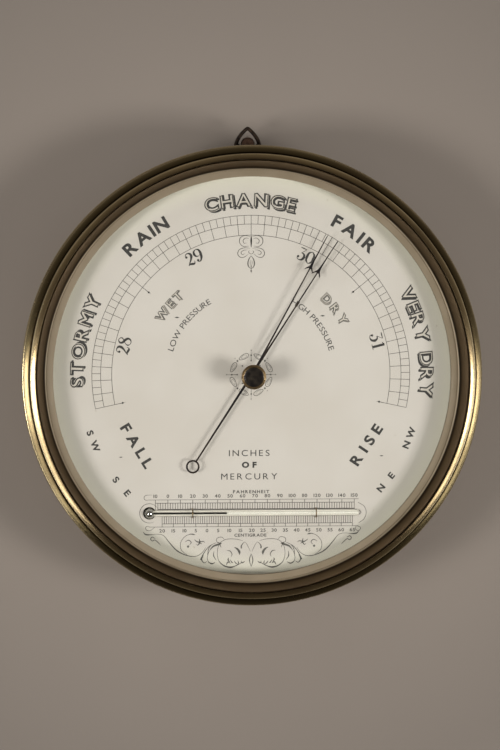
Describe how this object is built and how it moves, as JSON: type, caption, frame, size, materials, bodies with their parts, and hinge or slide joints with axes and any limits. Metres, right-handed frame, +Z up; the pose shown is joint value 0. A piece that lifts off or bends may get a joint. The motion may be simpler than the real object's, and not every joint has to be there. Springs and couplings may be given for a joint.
{
  "type": "marine aneroid barometer",
  "caption": "Round brass-cased aneroid barometer with a moulded bezel, bevelled glass, cream dial with a thermometer, two hands, a setting knob and a hanging bow.",
  "frame": {"origin": "centre of the flat back face, which lies against the wall", "axes": "+Z up, the dial faces -Y, +Y points into the wall"},
  "size_m": [0.2364, 0.0695, 0.2455],
  "materials": {
    "case_brass": "dark lacquered brass",
    "bezel_brass": "aged olive-brown brass, bright on its beads",
    "bright_brass": "polished brass",
    "glass": "clear polished glass",
    "ring_paint": "matt putty paint",
    "dial_paint": "matt cream enamel with black print",
    "blackened_steel": "blackened steel",
    "mercury": "liquid metal",
    "nickel_silver": "spun nickel silver",
    "steel": "polished steel"
  },
  "bodies": {
    "root": {"back_plate": "case_brass", "case_drum": "case_brass", "dial_ledge": "case_brass", "bezel": "bezel_brass", "glass_retaining_ring": "bright_brass", "glass": "glass", "sight_ring": "ring_paint", "dial_plate": "dial_paint", "knob_washer": "case_brass", "thermometer_tube": "glass", "thermometer_mercury": "mercury", "thermometer_staple_left": "case_brass", "thermometer_staple_right": "case_brass", "movement_base_plate": "bright_brass", "capsule_lower_shell": "nickel_silver", "capsule_upper_shell": "nickel_silver", "spring_bridge": "case_brass", "rocking_shaft_post_upper": "bright_brass", "rocking_shaft_post_lower": "bright_brass", "arbor_lower_plate": "bright_brass", "arbor_pillar_upper": "bright_brass", "arbor_pillar_lower": "bright_brass", "arbor_cock": "bright_brass", "hairspring": "steel", "hairspring_stud": "bright_brass", "pendant_stud": "case_brass", "bow_pin": "case_brass", "back_screw_1": "bright_brass", "back_screw_2": "bright_brass", "back_screw_3": "bright_brass", "back_screw_4": "bright_brass", "movement_spacer_1": "bright_brass", "movement_screw_1": "bright_brass", "movement_spacer_2": "bright_brass", "movement_screw_2": "bright_brass", "movement_spacer_3": "bright_brass", "movement_screw_3": "bright_brass"},
    "set_hand_body": {"set_hand_knob": "bright_brass", "set_hand_spindle": "bright_brass", "spindle_nut": "bright_brass", "set_hand": "blackened_steel"},
    "pressure_hand_body": {"pressure_hand": "blackened_steel", "hand_collet": "bright_brass", "pressure_arbor": "steel"},
    "chain_body": {"chain": "steel"},
    "rocking_shaft_body": {"rocking_shaft": "steel"},
    "lever_body": {"main_lever": "bright_brass", "lever_screw_1": "steel", "lever_screw_2": "steel", "link_rod": "steel", "mainspring": "steel"},
    "capsule_post_body": {"capsule_post": "bright_brass", "knife_edge_pin": "steel"},
    "regulating_screw_body": {"regulating_screw": "bright_brass"},
    "bow_body": {"hanging_bow": "blackened_steel"}
  },
  "joints": [
    {"name": "set_hand_turn", "type": "hinge", "parent": "root", "child": "set_hand_body", "pos_m": [0, 0, 0], "axis": [0, 1, 0], "continuous": true},
    {"name": "pressure_hand_turn", "type": "hinge", "parent": "root", "child": "pressure_hand_body", "pos_m": [0, 0, 0], "axis": [0, 1, 0], "range_deg": [-135, 69.4], "stiffness_Nm_per_rad": 0.002},
    {"name": "rocking_shaft_turn", "type": "hinge", "parent": "root", "child": "rocking_shaft_body", "pos_m": [-0.0225, -0.032, 0], "axis": [0, 0, 1], "range_deg": [-12, 23]},
    {"name": "chain_slide", "type": "slide", "parent": "root", "child": "chain_body", "axis": [1, 0, 0], "range_m": [-0.0017, 0.0033]},
    {"name": "main_lever_tilt", "type": "hinge", "parent": "root", "child": "lever_body", "pos_m": [0.06, -0.0201, 0], "axis": [0, 0, 1], "range_deg": [-0.36, 0.69]},
    {"name": "capsule_post_slide", "type": "slide", "parent": "root", "child": "capsule_post_body", "axis": [0, 1, 0], "range_m": [-0.0005, 0.00026]},
    {"name": "regulating_screw_turn", "type": "hinge", "parent": "root", "child": "regulating_screw_body", "pos_m": [0.0585, 0, 0.006], "axis": [0, 1, 0], "range_deg": [-180, 180]},
    {"name": "bow_swing", "type": "hinge", "parent": "root", "child": "bow_body", "pos_m": [0, -0.02, 0.1157], "axis": [1, 0, 0], "range_deg": [-90, 90]}
  ],
  "couplings": [
    {"joint": "rocking_shaft_turn", "follows": "pressure_hand_turn", "ratio": -0.16875},
    {"joint": "chain_slide", "follows": "pressure_hand_turn", "m_per_rad": -0.00135},
    {"joint": "main_lever_tilt", "follows": "pressure_hand_turn", "ratio": -0.0049632},
    {"joint": "capsule_post_slide", "follows": "pressure_hand_turn", "m_per_rad": 0.00019853}
  ]
}
